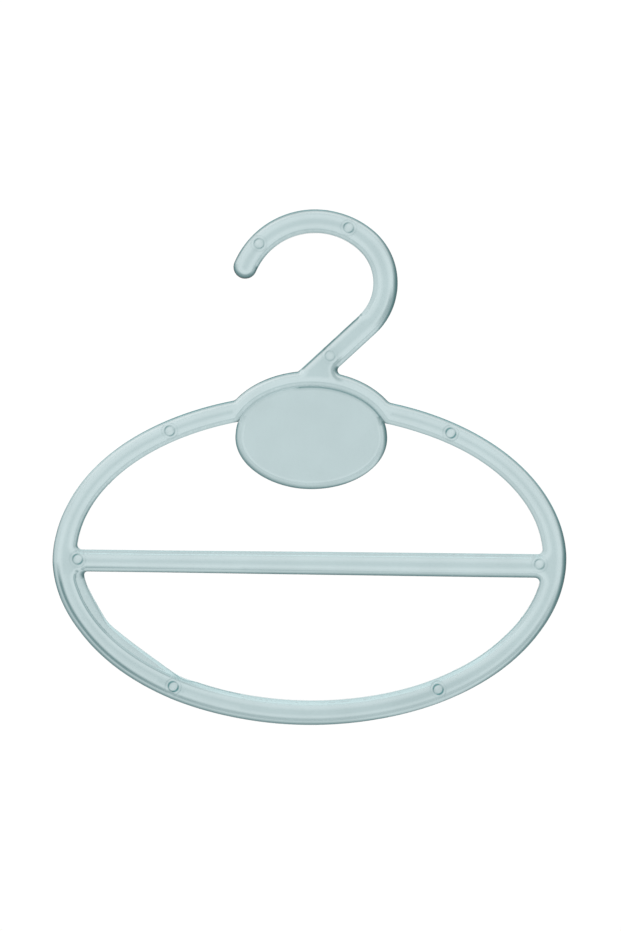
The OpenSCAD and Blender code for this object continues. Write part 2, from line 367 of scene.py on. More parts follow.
D_FRAME = 2.0                    # from the edge to the border of the flat face
FRAME_PROFILE = monotone([0, 0.07, 0.2, 0.42, 0.7, 1.1, 1.68, 1.85, 2.02, 2.2, 2.45, 12],
                         [RIM, 1.05, 1.32, 1.58, 1.76, 1.92, 2.08, 2.145, 2.22, 2.28, HALF, HALF])
PLATE_PROFILE = monotone([0, 0.07, 0.2, 0.5, 1.0, 2.3, 2.5, 2.7, 2.9, 3.2, 30],
                         [RIM, 1.00, 1.20, 1.42, 1.58, 1.78, 1.83, 1.92, 1.97, 2.0, 2.0])
FRAME_ROWS = [0, 0.035, 0.09, 0.17, 0.28, 0.42, 0.62, 0.95, 1.3, 1.6, 1.72, 1.82, 1.92, 2.02, 2.12, 2.25, 2.5, 3.1, 4.1]
PLATE_ROWS = [0, 0.035, 0.09, 0.17, 0.28, 0.45, 0.75, 1.1, 1.7, 2.3, 2.4, 2.5, 2.6, 2.7, 2.8, 2.95, 3.2, 4.2, 6.0]


def flank_extra(p):
    """How much wider the inner flank is at the lower left, at a point of the lower window's edge."""
    f = (p[:, 0] - IN_C[0]) ** 2 / IN_A ** 2 + (p[:, 1] - IN_C[1]) ** 2 / IN_B ** 2 - 1
    g = 2 * np.hypot((p[:, 0] - IN_C[0]) / IN_A ** 2, (p[:, 1] - IN_C[1]) / IN_B ** 2)
    return np.where((p[:, 0] < -30) & (p[:, 1] < -108.5), np.clip(-f / g, 0, 4), 0)


def ends(loop, ok, reach):
    """0 to 1: how far a point is along the loop from the ends of the stretch where ok, up to reach mm."""
    q = loop
    seg = np.linalg.norm(np.roll(q, -1, 0) - q, axis=1)
    out = np.zeros(len(q))
    for sign in (1, -1):
        run, best = 0.0, np.zeros(len(q))
        for k in list(range(len(q))) * 2:
            i = k if sign > 0 else len(q) - 1 - k
            j = (i - 1) % len(q) if sign > 0 else i
            run = run + seg[j] if ok[i] else 0.0
            best[i] = run
        out = best if sign > 0 else np.minimum(out, best)
    u = np.clip(out / reach, 0, 1)
    return u * u * (3 - 2 * u)


def inward(loop):
    """Unit normals into the material, which is on the loop's left."""
    t = tangents(loop, True)
    return np.stack([-t[:, 1], t[:, 0]], axis=-1)


class Region:
    """Signed heights of a flat region's face. Every edge point has five values: the extra width of its flank,
    where its profile starts, how deep its edge's tint and painted shade are, how dark the painted shade line along the
    border of its face is, and how strong the painted highlight on its flank is."""

    def __init__(self, loops, rows, profile, reach, knee):
        self.loops, self.rows, self.profile, self.reach, self.knee = loops, rows, profile, reach, knee
        self.plain = None
        self.a = np.vstack(loops)
        self.b = np.vstack([np.roll(q, -1, 0) for q in loops])
        self.n = np.vstack([inward(q) for q in loops])
        self.nb = np.vstack([np.roll(inward(q), -1, 0) for q in loops])
        self.val = np.zeros((len(self.a), 5))
        self.val[:, 2] = 1.0

    def near(self, p):
        """Distance, inward normal and the five values at the nearest point of the edge."""
        p = np.asarray(p, float)
        d, n, w = np.empty(len(p)), np.empty((len(p), 2)), np.empty((len(p), 5))
        cuts = np.cumsum([len(q) for q in self.loops])[:-1]
        vb = np.vstack([np.roll(x, -1, 0) for x in np.split(self.val, cuts)])
        cell = np.floor(p / 9.0).astype(int)
        for c in {tuple(x) for x in cell}:
            rows = np.where((cell[:, 0] == c[0]) & (cell[:, 1] == c[1]))[0]
            lo, hi = np.array(c) * 9.0 - self.reach, np.array(c) * 9.0 + 9.0 + self.reach
            e = np.where(((self.a > lo) & (self.a < hi)).all(axis=1))[0]
            a, ab = self.a[e], self.b[e] - self.a[e]
            l2 = (ab * ab).sum(1)
            q = p[rows]
            qx, qz = q[:, None, 0] - a[None, :, 0], q[:, None, 1] - a[None, :, 1]
            t = np.clip((qx * ab[:, 0] + qz * ab[:, 1]) / l2, 0, 1)
            dist = np.hypot(qx - t * ab[:, 0], qz - t * ab[:, 1])
            k = np.argmin(dist - self.val[e, 0], axis=1)
            r = np.arange(len(q))
            tt, k2 = t[r, k], e[k]
            d[rows] = dist[r, k]
            m = self.n[k2] * (1 - tt)[:, None] + self.nb[k2] * tt[:, None]
            n[rows] = m / np.linalg.norm(m, axis=1)[:, None]
            w[rows] = self.val[k2] * (1 - tt)[:, None] + vb[k2] * tt[:, None]
        return d, n, w

    def points(self):
        out, base = [], 0
        for lp in self.loops:
            nn = inward(lp)
            w = self.val[base:base + len(lp)]
            base += len(lp)
            corner = (np.linalg.norm(lp - k_left, axis=1) < 0.02) | (np.linalg.norm(lp - k_right, axis=1) < 0.02)
            for r in self.rows[1:]:
                dd = self.away(r, w)
                ok = ~corner & (dd > 0.02)
                out.append(np.column_stack([lp + nn * dd[:, None], dd - w[:, 0]])[ok])
        p = np.vstack(out)
        d, _, w = self.near(p[:, :2])
        keep = d - w[:, 0] > p[:, 2] - 0.012
        return p[keep, :2]

    def away(self, r, w):
        """Distance from the edge at which the profile is at r."""
        k = (self.knee - w[:, 1]) / (self.knee + w[:, 0])
        return np.where(r < self.knee, (r - w[:, 1]) / k, r + w[:, 0])

    def shape(self, p):
        """Height of the front face over the middle, its slope vector, the profile distance, the distance from the
        edge and the five values."""
        d, n, w = self.near(p)
        kn = self.knee
        k = (kn - w[:, 1]) / (kn + w[:, 0])
        out = d < kn + w[:, 0]
        e = np.where(out, w[:, 1] + d * k, d - w[:, 0])
        ge = n * np.where(out, k, 1)[:, None]
        if self.plain is not None:
            # beside the wide flank: e runs from the real edge to the border that follows the plain window
            zone = (p[:, 0] < -28) & (p[:, 1] < -106.5)
            q = p[zone]
            dp, np_, _ = self.plain.near(q)
            sgn = np.where(inside(window_plain, q), -1.0, 1.0)
            dp, np_ = dp * sgn, np_
            dz, nz = d[zone], n[zone]
            den = dz + kn - dp
            mid = dp < kn
            e[zone] = np.where(mid, kn * dz / den, dp)
            g_mid = kn * ((kn - dp)[:, None] * nz + dz[:, None] * np_) / (den ** 2)[:, None]
            ge[zone] = np.where(mid[:, None], g_mid, np_)
        t, v, s = self.profile
        return np.interp(e, t, v), np.interp(e, t, s)[:, None] * ge, e, d, w


def start(profile, z):
    """Where a profile has the height z."""
    return float(np.interp(z, profile[1][:800], profile[0][:800]))


frame_region = Region(frame_loops, FRAME_ROWS, FRAME_PROFILE, 15.0, 1.3)
frame_region.plain = Region([outer, window_up, window_plain], FRAME_ROWS, FRAME_PROFILE, 15.0, 1.3)
plate_region = Region([plate_loop], PLATE_ROWS, PLATE_PROFILE, 32.0, 2.9)
n0, n1 = len(outer), len(outer) + len(window_up)
V = frame_region.val
# the stem's upper edge has next to no flank
along = (outer - (STEM_A - h * STEM_N)) @ STEM_D
off = np.abs((outer - (STEM_A - h * STEM_N)) @ STEM_N)
on_stem = (off < 0.06) & (along > -2.5) & (along < 36)
stem_w = ends(outer, on_stem, 2.5)
V[:n0, 0] = -1.12 * stem_w
# the arch falls to the plate without a rim, and the plate is flat up to it

# how deep and wide the edges' tint and painted shade are, by the way they face (degrees, 0 to the right): painted shade
# makes edges facing right and down darkest
TURN = [0, 20, 45, 60, 90, 105, 138, 180, 198, 225, 257, 272, 283, 290, 300, 318, 340]
EDGE_TINT_AND_SHADE_BY_TURN = [3.5, 2.3, 1.3, 1.15, 1.1, 1.1, 0.6, 0.9, 1.4, 1.9, 1.5, 1.6, 0.85, 0.55, 0.95, 2.2, 3.1]
PLATE_TURN = [0, 30, 150, 180, 225, 270, 292, 315, 340]
PLATE_EDGE_TINT_AND_SHADE_BY_TURN = [2.6, 2.0, 0.9, 1.1, 1.8, 1.55, 0.9, 0.5, 1.6]


def by_turn(n, turn, value):
    a = np.degrees(np.arctan2(-n[:, 1], -n[:, 0])) % 360
    return np.interp(a, turn, value, period=360)


V[:, 2] = by_turn(frame_region.n, TURN, EDGE_TINT_AND_SHADE_BY_TURN)
turn_out = np.degrees(np.arctan2(-frame_region.n[:n0, 1], -frame_region.n[:n0, 0])) % 360
# inner edges: rounder, with less painted edge shade
soft = np.zeros(len(V))
soft[:n0] = np.exp(-np.clip((np.hypot(*(outer.T)) - (CROOK_R - 4.0)) / 2.0, 0, 9) ** 2) * (outer[:, 1] > -9)
soft[:n0] = np.maximum(soft[:n0], np.exp(-((turn_out - 313) / 12) ** 2) * (outer[:, 1] > -28) * (outer[:, 1] < 2))
soft[n0:n1] = np.where(window_up[:, 1] < -97, 0.75, 1.0)
soft[n1:] = np.clip((-108.0 - window_low[:, 1]) / 3.0, 0, 1)
turn_low = np.degrees(np.arctan2(-frame_region.n[n1:, 1], -frame_region.n[n1:, 0])) % 360
soft[n1:] *= np.interp(turn_low, [100, 125, 150, 175], [1, 0.35, 0.35, 1])
V[:, 2] *= 1 - 0.65 * soft
# painted shade on the lower window's edge: stronger at its lower right, almost none along the wide flank at its lower
# left
V[n1:, 2] = np.where(window_low[:, 0] > 5, np.maximum(V[n1:, 2], 0.7 * np.clip((window_low[:, 0] - 56) / 14, 0, 1) * (window_low[:, 1] < -110)), V[n1:, 2])
V[n1:, 2] = np.where((window_low[:, 0] < -45) & (window_low[:, 1] < -110), 0.05, V[n1:, 2])
V[:, 1] = 0.5 * soft
# painted shade along the stem's upper edge
V[:n0, 2] = np.maximum(V[:n0, 2], 1.5 * stem_w)
V[:n0, 1] *= 1 - stem_w
# painted shade at the hook's neck, on its edge and along the border of its face
neck = np.exp(-(np.hypot(outer[:, 0] - 9.6, outer[:, 1] + 27.4) / 3.2) ** 4)
V[:n0, 2] = np.maximum(V[:n0, 2], 0.35 * neck)
# the hook: painted shade, darker under its tip and along its top
tip = (outer[:, 0] < -20) & (np.hypot(outer[:, 0] - TIP_M[0], outer[:, 1] - TIP_M[1]) < h + 0.3) & (outer[:, 1] < TIP_M[1] + 1.5)
V[:n0, 2] = np.where(tip, np.interp(turn_out, [150, 190, 230, 300, 330, 350], [0.9, 2.0, 3.2, 3.2, 2.0, 0.4]), V[:n0, 2])
V[:n0, 1] = np.where(tip, 0, V[:n0, 1])
top_edge = (outer[:, 1] > 0) & (soft[:n0] < 0.1)
V[:n0, 2] += np.where(top_edge, np.interp(turn_out, [85, 105, 150, 165], [0, 0.25, 0.3, 0]), 0)
# the arch falls to the plate without a rim, and the plate is flat up to it
SEAT_Z = 1.5
on_seat = np.zeros(len(window_up), bool)
on_seat[:i_r + 1] = True
ramp_up = ends(window_up, on_seat, 3.5)
V[n0:n0 + i_r + 1, 1] = start(FRAME_PROFILE, SEAT_Z) * ramp_up[:i_r + 1]
# painted shade along the seat's edge, faint in its middle and deep towards its ends
V[n0:n0 + i_r + 1, 2] = 0.12 + 0.8 * (1 - ramp_up[:i_r + 1])
for i in (n0, n0 + i_r):
    V[i, 1] = 0.0
# the inner edge starts upright where it leaves the plate, and rounds off within 3 mm
off_seat = ends(window_up, ~on_seat, 3.0)
V[n0 + i_r + 1:n1, 1] *= off_seat[i_r + 1:]
seat_h = np.interp(V[n0:n0 + i_r + 1, 1], FRAME_PROFILE[0], FRAME_PROFILE[1])
W = plate_region.val
W[:i_r + 1, 1] = [start(PLATE_PROFILE, z) for z in seat_h[::-1]]
W[:i_r + 1, 0] = -2.3 * ramp_up[:i_r + 1][::-1]
W[:, 2] = by_turn(plate_region.n, PLATE_TURN, PLATE_EDGE_TINT_AND_SHADE_BY_TURN)
plate_turn = np.degrees(np.arctan2(-plate_region.n[:, 1], -plate_region.n[:, 0])) % 360
# painted shade line along the border of the plate's face, strongest to the lower left and lower right
W[:, 3] = np.interp(plate_turn, [160, 180, 200, 230, 270, 295, 315, 335, 355], [0, 0.2, 0.25, 0.15, 0.1, 0.2, 0.25, 0.1, 0])
W[:i_r + 1, 3] = -1.0            # marks the seat
plate_fine = ell(PLATE_C, PLATE_A, PLATE_B, arange(0, 359.5, 0.5))
# painted shade in the groove along the plate's seat, by its angle round the plate: darkest to the right and top
SEAT_TURN = [-20, -8, 4, 14, 70, 95, 101, 103, 106, 112, 180, 195, 205]
SEAT_GROOVE_SHADE = [0, 0.5, 1.0, 0.95, 0.9, 0.9, 0.9, 1.0, 0.6, 0.25, 0.35, 0.3, 0]
# painted shade lines along the border of the face: on the ring's lower edges, round the bend, at the neck, under the
# bar and along the lower window's left
ring_crease_shade = np.interp(turn_out, [182, 195, 235, 255, 275, 290, 305, 320, 335, 350], [0, 0.85, 0.85, 0.5, 0.4, 0.35, 0.4, 0.5, 0.3, 0]) * (outer[:, 1] < -95)
bend_crease_shade = np.interp(turn_out, [296, 312, 345, 359], [0, 0.7, 0.6, 0]) * (outer[:, 1] > -27) * (outer[:, 0] > 10)
V[:n0, 3] = np.maximum(np.maximum(ring_crease_shade, bend_crease_shade * (1 - soft[:n0])), 0.6 * neck)
bar_low = BAR_Z + BAR_SLOPE * (window_low[:, 0] - RING_C[0]) - BAR_W / 2 + np.interp(window_low[:, 0], [-62, 0, 62], [0.27, 0.1, -0.02])
under_bar = window_low[:, 1] > bar_low - 0.1
V[n1:, 3] = np.where(~under_bar, (0.65 + 0.2 * (window_low[:, 0] < -78)) * np.clip((-35 - window_low[:, 0]) / 15, 0, 1),
                     np.interp(window_low[:, 0], [-84, -60, 0, 40], [0.7, 0.4, 0.3, 0.12]))
# the painted shade on the bar's lower edge is weaker to the left
V[n1:, 2] *= np.where(under_bar, np.interp(window_low[:, 0], [-84, -30, 30], [0.45, 0.6, 1.0]), 1)

# painted highlight on the flank, strongest along the upper edges and the stem
V[:n0, 4] = np.interp(turn_out, [0, 20, 45, 120, 140, 165, 185, 360], [0, 0.5, 0.9, 0.9, 0.5, 0.2, 0, 0]) * (1 - soft[:n0])
V[:n0, 4] = np.maximum(V[:n0, 4], stem_w)

# ------------------------------------------------------------------ ejector marks
MARKS = np.array([(-21.9, 20.6), (12.85, 27.0), (6.0, -22.8), (-56.1, -52.4), (53.1, -52.5),
                  (-91.5, -102.5), (87.9, -103.2), (-54.0, -151.7), (48.9, -152.1)])
MARK_RIM_SHADE = [0.9, 1.0, 0.6, 1.0, 1.4, 1.2, 0.9, 1.7, 1.7]
MARK_ROWS = [0.6, 1.1, 1.35, 1.55, 1.7, 1.8, 1.9, 2.0, 2.15, 2.35, 2.6, 2.8, 3.0, 3.12, 3.25, 3.45, 3.75, 4.0]


def marks(p):
    """Height added by the round marks on the front face, its gradient, and the painted shade on their rings."""
    hgt, line = np.zeros(len(p)), np.zeros(len(p))
    grad = np.zeros((len(p), 2))
    for c, tone in zip(MARKS, MARK_RIM_SHADE):
        v = p - c
        r = np.hypot(v[:, 0], v[:, 1]) + 1e-9
        near = r < 5
        step = 1 / (1 + np.exp(np.clip((r - 1.9) / 0.1, -40, 40)))
        e2 = np.exp(-((r - 3.12) / 0.16) ** 2)
        f = -0.28 * step - 0.06 * e2
        g = 0.28 * step * (1 - step) / 0.1 + 0.06 * e2 * 2 * (r - 3.12) / 0.16 ** 2
        hgt += np.where(near, f, 0)
        # the painted shade on the rings is stronger on two sides
        uneven = 0.35 + 0.65 * np.clip((v[:, 0] * 0.64 - v[:, 1] * 0.77) / r, -1, 1) ** 2
        line += tone * uneven * (np.exp(-((r - 1.9) / 0.36) ** 2) + 0.3 * np.exp(-((r - 3.12) / 0.3) ** 2))
        grad += np.where(near, g / r, 0)[:, None] * v
    return hgt, grad, line


# ------------------------------------------------------------------ triangulation
def inside(loop, p):
    x, z = p[:, 0], p[:, 1]
    c = np.zeros(len(p), bool)
    a, b = loop, np.roll(loop, -1, 0)
    for (x0, z0), (x1, z1) in zip(a, b):
        if z0 == z1:
            continue
        hit = ((z0 > z) != (z1 > z)) & (x < (x1 - x0) * (z - z0) / (z1 - z0) + x0)
        c ^= hit
    return c


def thin_rows(p):
    """Leaves out points within 3.4 mm of the outer edge, which have rows of their own."""
    return p[np.array([np.min(np.hypot(*(outer - q).T)) for q in p]) > 3.4]


def in_frame(p):
    return inside(outer, p) & ~inside(window_up, p) & ~inside(window_low, p)


frame_pts = frame_region.points()
# beside the wide flank the rows follow the plain window
wide_zone = (frame_pts[:, 0] < -28) & (frame_pts[:, 1] < -108)
wide_zone &= frame_region.near(frame_pts)[0] > 0.3
plain_rows = []
for r in FRAME_ROWS[8:]:
    q = window_plain + inward(window_plain) * r
    plain_rows.append(q[(q[:, 0] < -28) & (q[:, 1] < -108)])
for r in (0.3, 0.6, 1.0, 1.5):
    q = window_low + inward(window_low) * r * (1 + 0.55 * flank_extra(window_low))[:, None]
    plain_rows.append(q[(q[:, 0] < -28) & (q[:, 1] < -108)])
plain_rows = np.vstack(plain_rows)
plain_rows = plain_rows[in_frame(plain_rows)]
plain_rows = plain_rows[frame_region.near(plain_rows)[0] > 0.15]
near_outer = np.array([np.min(np.hypot(*(outer - q).T)) for q in frame_pts[wide_zone]])
drop = np.where(wide_zone)[0][near_outer > 3.6]
frame_pts = np.vstack([np.delete(frame_pts, drop, axis=0), thin_rows(plain_rows)])
# joint points: at the rows' distances from both ends of each joint
joint_lines = []
for (e0, e1) in joint_ends:
    L = np.linalg.norm(e1 - e0)
    d, _, w = frame_region.near(np.array([e0 + (e1 - e0) * 0.02, e1 + (e0 - e1) * 0.02]))
    g = np.linspace(0, 1, 500)
    _, _, e, _, _ = frame_region.shape(e0 + (e1 - e0) * g[:, None])
    half = int(np.argmax(e))
    s0 = [0.0] + [float(np.interp(r, e[:half], g[:half])) * L for r in FRAME_ROWS if e[0] + 0.02 < r < e[half] - 0.05]
    s1 = [L] + [float(np.interp(r, e[:half:-1], g[:half:-1])) * L for r in FRAME_ROWS if e[-1] + 0.02 < r < e[half] - 0.05]
    s = sorted([v for v in s0 if v < L / 2 - 0.05] + [v for v in s1 if v > L / 2 + 0.05])
    joint_lines.append(e0 + (e1 - e0) * (np.array(s) / L)[:, None])


def far_from_joints(p, gap=0.22):
    ok = np.ones(len(p), bool)
    for (e0, e1) in joint_ends:
        u = (e1 - e0) / np.linalg.norm(e1 - e0)
        v = p - e0
        al = v @ u
        ac = np.abs(v[:, 0] * u[1] - v[:, 1] * u[0])
        ok &= ~((ac < gap) & (al > -0.01) & (al < np.linalg.norm(e1 - e0) + 0.01))
    return ok


mark_pts = np.vstack([pol(c, r, np.arange(0, 360, 10 if r > 0.6 else 45)) for c in MARKS for r in MARK_ROWS])
dm = frame_region.near(mark_pts)[0]
mark_pts = mark_pts[in_frame(mark_pts) & (dm > 1.0)]
in_mark = np.zeros(len(frame_pts), bool)
for c in MARKS:
    in_mark |= np.hypot(*(frame_pts - c).T) < 4.1
frame_pts = frame_pts[far_from_joints(frame_pts) & ~(in_mark & (frame_region.near(frame_pts)[0] > 1.0))]
mark_pts = mark_pts[far_from_joints(mark_pts)]


def thin(p, gap):
    """Drops points closer than gap to an earlier one."""
    seen, keep = {}, []
    for i, (x, z) in enumerate(p):
        k = (int(math.floor(x / gap)), int(math.floor(z / gap)))
        ok = True
        for a in (-1, 0, 1):
            for b in (-1, 0, 1):
                for j in seen.get((k[0] + a, k[1] + b), ()):
                    if (p[j][0] - x) ** 2 + (p[j][1] - z) ** 2 < gap * gap:
                        ok = False
        if ok:
            seen.setdefault(k, []).append(i)
            keep.append(i)
    return p[keep]


def triangulate(loops, lines, pts, is_in):
    verts, edges = [], []
    for lp in loops:
        b = len(verts)
        verts += [tuple(v) for v in lp]
        edges += [(b + i, b + (i + 1) % len(lp)) for i in range(len(lp))]
    index = {(round(x, 4), round(z, 4)): i for i, (x, z) in enumerate(verts)}
    for ln in lines:
        prev = None
        for v in ln:
            key = (round(v[0], 4), round(v[1], 4))
            if key not in index:
                index[key] = len(verts)
                verts.append(tuple(v))
            if prev is not None:
                edges.append((prev, index[key]))
            prev = index[key]
    verts += [tuple(v) for v in pts]
    vo, _, fo, *_ = delaunay_2d_cdt([(float(x), float(z)) for x, z in verts], edges, [], 0, 1e-5, False)
    v = np.array([tuple(q) for q in vo])
    f = np.array([tuple(t) for t in fo])
    c = v[f].mean(axis=1)
    f = f[is_in(c)]
    e1, e2 = v[f[:, 1]] - v[f[:, 0]], v[f[:, 2]] - v[f[:, 0]]
    area = e1[:, 0] * e2[:, 1] - e1[:, 1] * e2[:, 0]
    f[area < 0] = f[area < 0][:, ::-1]
    return v, f


fv, ff = triangulate(frame_loops, joint_lines, thin(np.vstack([mark_pts, frame_pts]), 0.03), in_frame)
plate_pts = plate_region.points()
grid = np.stack(np.meshgrid(np.arange(-31, 30, 3.0), np.arange(-75, -34, 3.0)), -1).reshape(-1, 2)
grid = grid[inside(plate_loop, grid)]
grid = grid[plate_region.near(grid)[0] > 7.0]
pv, pf = triangulate([plate_loop], [], thin(np.vstack([plate_pts, grid]), 0.03), lambda c: inside(plate_loop, c))


# ------------------------------------------------------------------ which node a point is in
def side(p, joint):
    q, d = joint
    return (p[:, 0] - q[0]) * d[1] - (p[:, 1] - q[1]) * d[0]     # > 0 to the right of d


def classify(c):
    """Name of the CAD node for each point of the frame."""
    name = np.empty(len(c), object)
    u, v = c[:, 0] - RING_C[0], c[:, 1] - RING_C[1]
    au, av = np.abs(u), np.abs(v)
    t = (c - STEM_B) @ (-STEM_D)
    upper = (c[:, 1] > -5) | ((c[:, 1] > -33) & (t > 0) & (np.abs((c - STEM_B) @ STEM_N) < 60))
    a46 = c[:, 0] * sind(A_BEND) - c[:, 1] * cosd(A_BEND)        # < 0 on the crook's side
    d36 = (cosd(END_TURN), sind(END_TURN))
    d66 = (cosd(SHOULDER_TURN), sind(SHOULDER_TURN))
    below36 = (au - Q_END[0]) * d36[1] - (av - Q_END[1]) * d36[0] > 0
    below66 = (au - Q_LONG[0]) * d66[1] - (av - Q_LONG[1]) * d66[0] > 0
    lr = np.where(u < 0, "left", "right")
    for i in range(len(c)):
        if upper[i]:
            # the hook: neck below the stem's joint, then shank, bend, crook
            if t[i] < 17.0 and a46[i] > 0 or (t[i] < 17.0 and c[i, 1] < -5 and c[i, 0] > 5):
                name[i] = "hook_shank"
            elif a46[i] < 0:
                name[i] = "hook_crook"
            else:
                name[i] = "hook_bend"
        elif au[i] < STUB and abs(c[i, 1] - BAR_Z) < 9 and au[i] < 88:
            name[i] = "cross_bar"
        elif below36[i]:
            name[i] = "ring_end_" + lr[i]
        elif below66[i]:
            name[i] = ("ring_shoulder_upper_" if v[i] > 0 else "ring_shoulder_lower_") + lr[i]
        elif v[i] < 0:
            name[i] = "ring_bottom_" + lr[i]
        else:
            name[i] = "top"
    top = name == "top"
    cr_ = PLATE_C + np.array([PLATE_A - P_END, 0])
    cl_ = PLATE_C - np.array([PLATE_A - P_END, 0])
    right_of = (c[:, 0] - cr_[0]) * sind(52) - (c[:, 1] - cr_[1]) * cosd(52) > 0
    left_of = (c[:, 0] - cl_[0]) * sind(52) + (c[:, 1] - cl_[1]) * cosd(52) < 0
    name[top & right_of] = "ring_top_right"
    name[top & left_of] = "ring_top_left"
    name[top & ~right_of & ~left_of] = "neck_arch"
    return name


names = classify(fv[ff].mean(axis=1))

# ------------------------------------------------------------------ meshes
MM = 0.001


def height(region, p, with_marks):
    hgt, grad, e, d, w = region.shape(p)
    deep = w[:, 2:]
    # the edge's tint with painted shade: a dark band whose depth and width come from the edge's values
    stem = np.clip(-w[:, 0] / 1.12, 0, 1) * (region is frame_region)
    wide = np.clip(deep[:, 0] - 1.5, 0, 1) * (1 - stem)
    mid = 0.5 * stem + (0.14 * np.clip((deep[:, 0] - 0.6) / 0.4, 0, 1) + 0.12 * wide) * (1 - stem)
    reach = 0.52 * stem + 0.58 * np.maximum(deep[:, 0], 0.5) * (1 - 0.25 * wide) * (1 - stem)
    dark = np.exp(-(np.abs(d - mid) / reach) ** (2 + 1.5 * wide)) * np.clip(deep[:, 0], 0, 1)
    dark *= 1 - 0.09 * np.clip((deep[:, 0] - 1) / 0.5, 0, 1) * (1 - stem)
    # painted shade line along the border of the face
    outside = (((p - RING_C) / (OA, OB)) ** 2).sum(1) > 1
    dark = np.maximum(dark, np.clip(deep[:, 1], 0, 1) * np.exp(-((e - np.where(outside, 2.12, 1.95)) / np.where(outside, 0.48, np.where(p[:, 0] < -28, 0.27, 0.4))) ** 2))
    # painted highlight on the flank, about 1.1 mm in from the edge
    pale = deep[:, 2] * np.exp(-((d - 1.1) / 0.6) ** 2)
    # darker in the middle of the ring's lower right and at its lower left, 2 mm and more in from the edge
    low = np.degrees(np.arctan2((p[:, 1] - RING_C[1]) / OUT_B, (p[:, 0] - RING_C[0]) / OUT_A)) % 360
    cloud = np.interp(low, [195, 215, 240, 262, 284, 296, 308, 322, 345], [0, 0.06, 0.05, 0.02, 0.07, 0.13, 0.12, 0.04, 0])
    dark = np.maximum(dark, cloud * np.clip((e - 2.0) / 2.0, 0, 1) * (p[:, 1] < -109))
    if region is plate_region:
        # painted shade in the groove along the seat, which runs on into the plate's own outline, darkest to the right
        # and top
        groove = np.clip(-deep[:, 1], 0, 1)
        far = np.array([np.min(np.hypot(*(plate_fine - q).T)) for q in p])
        turn_at = (np.degrees(np.arctan2(p[:, 1] - PLATE_C[1], p[:, 0] - PLATE_C[0])) + 90) % 360 - 90
        at_seat = np.exp(-((far - 0.5) / 0.33) ** 2) * np.interp(turn_at, SEAT_TURN, SEAT_GROOVE_SHADE)
        dark = np.maximum(dark * (1 - groove), at_seat)
        dark = np.clip(dark, 0, 1)
    if with_marks:
        a, g, line = marks(p)
        hgt, grad, dark = hgt + a, grad + g, np.maximum(dark, line)
        # painted highlight in the middle of each mark
        for c in MARKS:
            pale = np.maximum(pale, 0.8 * np.exp(-(np.hypot(*(p - c).T) / 1.1) ** 2))
    return hgt, grad, e, np.clip(dark, 0, 1), pale


def rim_edges(loops, v):
    """Set of undirected vertex pairs that lie on the given loops."""
    key = {(round(x, 3), round(z, 3)): i for i, (x, z) in enumerate(v)}
    out = set()
    for lp in loops:
        ids = [key.get((round(x, 3), round(z, 3))) for x, z in lp]
        for a, b in zip(ids, ids[1:] + ids[:1]):
            if a is not None and b is not None:
                out.add((min(a, b), max(a, b)))
    return out


def build(name, node, v2, tris, region, loops_real, with_marks):
    """A closed piece: front, back, upright rim, and joint faces."""
    used = np.unique(tris)
    remap = {int(g): i for i, g in enumerate(used)}
    p = v2[used]
    n = len(p)
    hf, gf, ef, kf, lf = height(region, p, with_marks)
    hb, gb, _, kb, lb = height(region, p, False)
    count = {}
    for t in tris:
        for a, b in ((t[0], t[1]), (t[1], t[2]), (t[2], t[0])):
            k = (min(a, b), max(a, b))
            count.setdefault(k, []).append((int(a), int(b)))
    border = [e[0] for e in count.values() if len(e) == 1]
    real = rim_edges(loops_real, v2)
    verts = [(x * MM, -f * MM, z * MM) for (x, z), f in zip(p, hf)] + [(x * MM, b * MM, z * MM) for (x, z), b in zip(p, hb)]
    nf = np.column_stack([-gf[:, 0], -np.ones(n), -gf[:, 1]])
    nb = np.column_stack([-gb[:, 0], np.ones(n), -gb[:, 1]])
    nf /= np.linalg.norm(nf, axis=1)[:, None]
    nb /= np.linalg.norm(nb, axis=1)[:, None]
    _, inn, _ = region.near(p)
    faces, normals, slots = [], [], []
    for a, b, c in tris:
        a, b, c = remap[int(a)], remap[int(b)], remap[int(c)]
        faces.append((a, b, c)); normals += [nf[a], nf[b], nf[c]]; slots.append(0)
        faces.append((n + c, n + b, n + a)); normals += [nb[c], nb[b], nb[a]]; slots.append(0)
    for a, b in border:
        is_rim = (min(a, b), max(a, b)) in real
        i, j = remap[a], remap[b]
        faces.append((j, i, n + i, n + j))
        if is_rim:
            na = np.array([-inn[i][0], 0, -inn[i][1]])
            nb_ = np.array([-inn[j][0], 0, -inn[j][1]])
            normals += [nb_, na, na, nb_]
            slots.append(0)
        else:
            d = p[j] - p[i]
            fl = np.array([d[1], 0, -d[0]]) / np.linalg.norm(d)
            normals += [fl, fl, fl, fl]
            slots.append(1)
    me = bpy.data.meshes.new(name)
    me.from_pydata(verts, [], faces)
    me.update()
    for poly, s in zip(me.polygons, slots):
        poly.material_index = s
        poly.use_smooth = s == 0
    me.normals_split_custom_set([tuple(x) for x in normals])
    tone = me.attributes.new("edge_mm", "FLOAT", "POINT")
    tone.data.foreach_set("value", np.concatenate([ef, ef]).astype("f"))
    # per point: the edges' tint with painted shade, and the painted highlight on the flanks and marks
    deep = me.attributes.new("edge_tint_and_painted_shade", "FLOAT", "POINT")
    deep.data.foreach_set("value", np.concatenate([kf, kb]).astype("f"))
    pale = me.attributes.new("edge_painted_highlight", "FLOAT", "POINT")
    pale.data.foreach_set("value", np.concatenate([lf, lb]).astype("f"))
    ob = bpy.data.objects.new(name, me)
    bpy.context.scene.collection.objects.link(ob)
    ob.data.materials.append(PLASTIC if node != "label_plate" else PLATE_MAT)
    ob.data.materials.append(JOINT)
    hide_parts(node)
    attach(ob, "root")
    return ob


# ------------------------------------------------------------------ materials
def lin(r, g, b):
    f = lambda c: c / 12.92 if c <= 0.04045 else ((c + 0.055) / 1.055) ** 2.4
    return (f(r / 255), f(g / 255), f(b / 255), 1.0)


